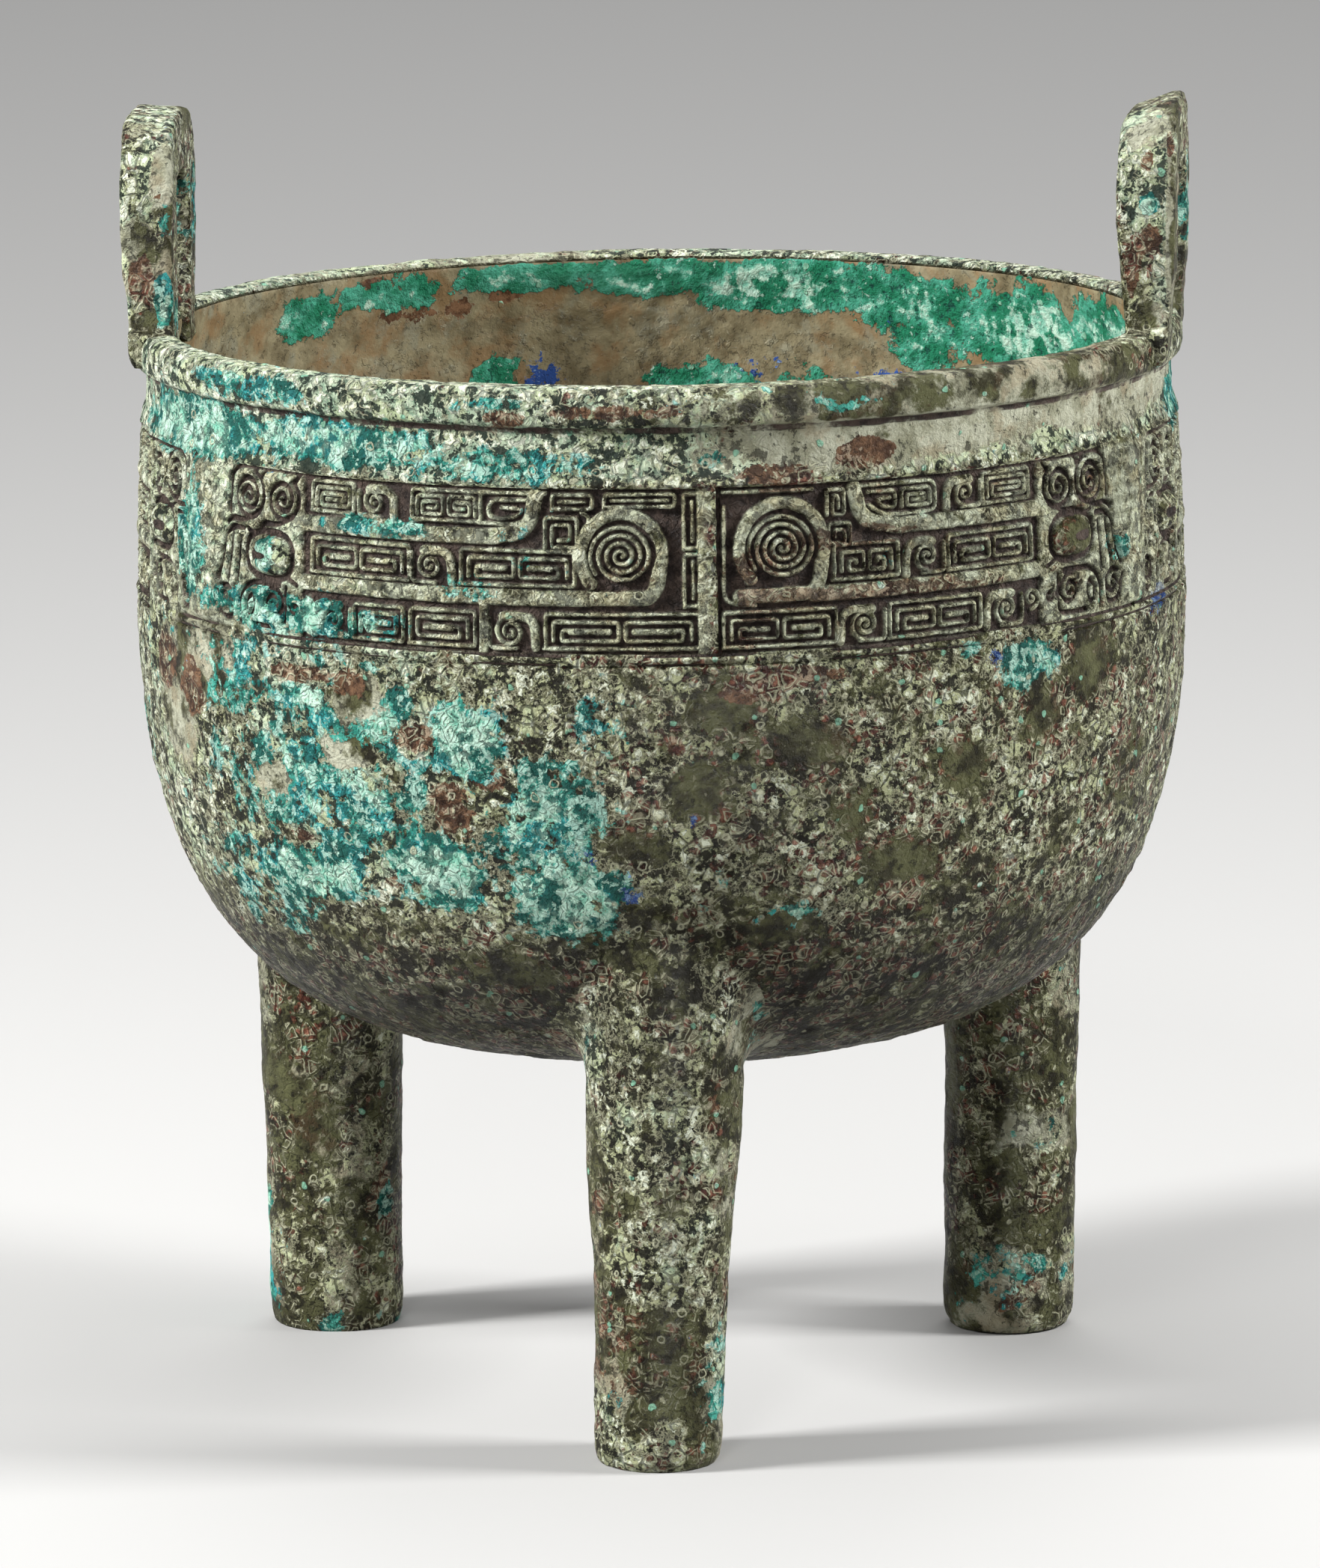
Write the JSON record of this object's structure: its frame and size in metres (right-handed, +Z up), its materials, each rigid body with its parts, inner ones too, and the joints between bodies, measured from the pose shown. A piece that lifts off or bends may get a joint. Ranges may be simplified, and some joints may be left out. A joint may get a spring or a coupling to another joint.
{
  "type": "bronze ding vessel",
  "caption": "Round tripod ding: a deep hollow bowl with a rounded lip, upright loop handles, columnar legs and a carved band of masks under the lip.",
  "frame": {"origin": "on the surface the ding stands on, under the middle of its whole box", "axes": "+Z up through the bowl's mouth, -Y towards the front leg, +X towards the viewer's right handle"},
  "size_m": [0.183, 0.1802, 0.2232],
  "materials": {
    "patinated_bronze": "cast bronze under a rough mottled green, olive and red-brown corrosion, dark in the carving"
  },
  "bodies": {
    "root": {"ding_vessel": "patinated_bronze"}
  },
  "joints": []
}
